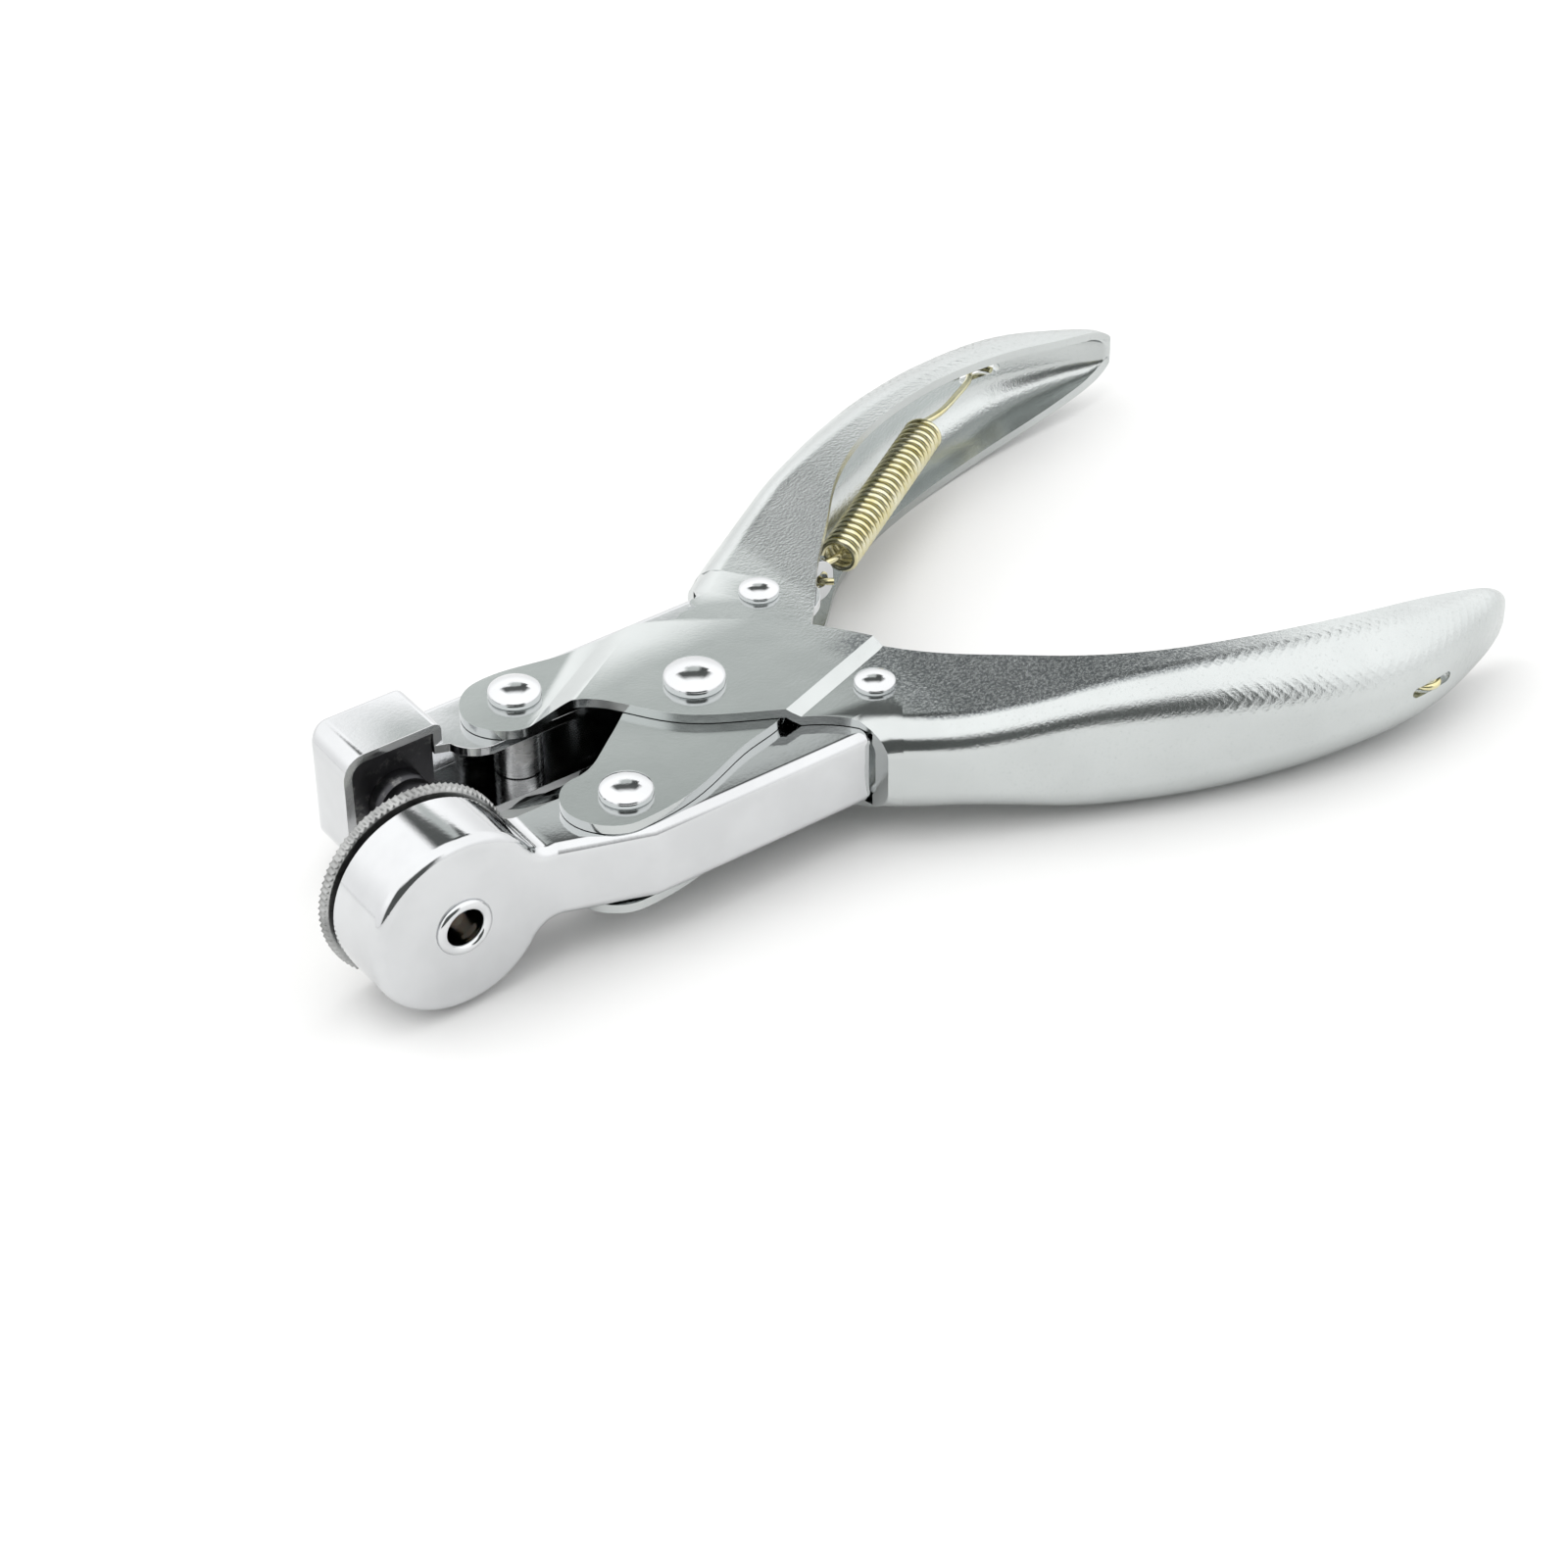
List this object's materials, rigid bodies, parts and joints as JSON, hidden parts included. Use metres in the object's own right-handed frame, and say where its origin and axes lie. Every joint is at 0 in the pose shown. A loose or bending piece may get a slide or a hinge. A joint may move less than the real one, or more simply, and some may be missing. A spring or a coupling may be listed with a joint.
{
  "type": "parallel action hole punch pliers",
  "caption": "Chromed pressed-steel hand pliers with parallel jaws, a hollow pipe punch and a turnable knurled anvil disc, for punching round holes in leather and sheet.",
  "frame": {"origin": "middle of the tool's bounding box, with the jaws open", "axes": "+X from the jaws to the handle tips, +Y from the anvil jaw's side to the punch jaw's side, +Z along the pivot rivet"},
  "size_m": [0.1591, 0.0968, 0.0264],
  "materials": {
    "satin_chrome": "chrome plate over fine-grained pressed steel, knurled grips",
    "bright_chrome": "bright chrome plate",
    "rivet_chrome": "bright chrome, polished domes",
    "plain_steel": "turned steel",
    "disc_steel": "bright turned steel with a knurled rim",
    "pad_plastic": "tough off-white plastic, scored by the punch",
    "black_oxide": "hardened steel, black oxide",
    "spring_brass": "yellow passivated spring wire"
  },
  "bodies": {
    "near_lever": {"near_lever": "satin_chrome", "pivot_rivet": "rivet_chrome", "pivot_spacer": "plain_steel", "near_rear_pin": "rivet_chrome", "near_rear_roller": "plain_steel", "far_front_rivet": "rivet_chrome", "far_front_spacer": "plain_steel", "near_spring": "spring_brass"},
    "far_lever": {"far_lever": "satin_chrome", "far_rear_pin": "rivet_chrome", "far_rear_roller": "plain_steel", "near_front_rivet": "rivet_chrome", "near_front_spacer": "plain_steel", "far_spring": "spring_brass"},
    "punch_jaw": {"punch_jaw": "bright_chrome", "punch_tube": "black_oxide", "punch_block": "black_oxide", "punch_nut": "plain_steel"},
    "anvil_jaw": {"anvil_jaw": "bright_chrome", "disc_axle": "rivet_chrome", "spring_washer": "plain_steel"},
    "anvil_disc": {"anvil_disc": "disc_steel", "anvil_pad": "pad_plastic"}
  },
  "joints": [
    {"name": "handles", "type": "hinge", "parent": "near_lever", "child": "far_lever", "pos_m": [-0.02213, 0, 0], "axis": [0, 0, -1], "range_deg": [0, 24], "stiffness_Nm_per_rad": 0.6, "springref_deg": -28.65, "deforming": ["far_spring", "near_spring"]},
    {"name": "punch_jaw_pivot", "type": "hinge", "parent": "near_lever", "child": "punch_jaw", "pos_m": [-0.0411, 0.01265, 0], "axis": [0, 0, -1], "range_deg": [0, 12]},
    {"name": "anvil_jaw_pivot", "type": "hinge", "parent": "far_lever", "child": "anvil_jaw", "pos_m": [-0.0411, -0.01265, 0], "axis": [0, 0, 1], "range_deg": [0, 12]},
    {"name": "disc_turn", "type": "hinge", "parent": "anvil_jaw", "child": "anvil_disc", "pos_m": [-0.06663, -0.009, 0], "axis": [0, 1, 0], "continuous": true}
  ],
  "couplings": [
    {"joint": "punch_jaw_pivot", "follows": "handles", "ratio": 0.5},
    {"joint": "anvil_jaw_pivot", "follows": "handles", "ratio": 0.5}
  ]
}
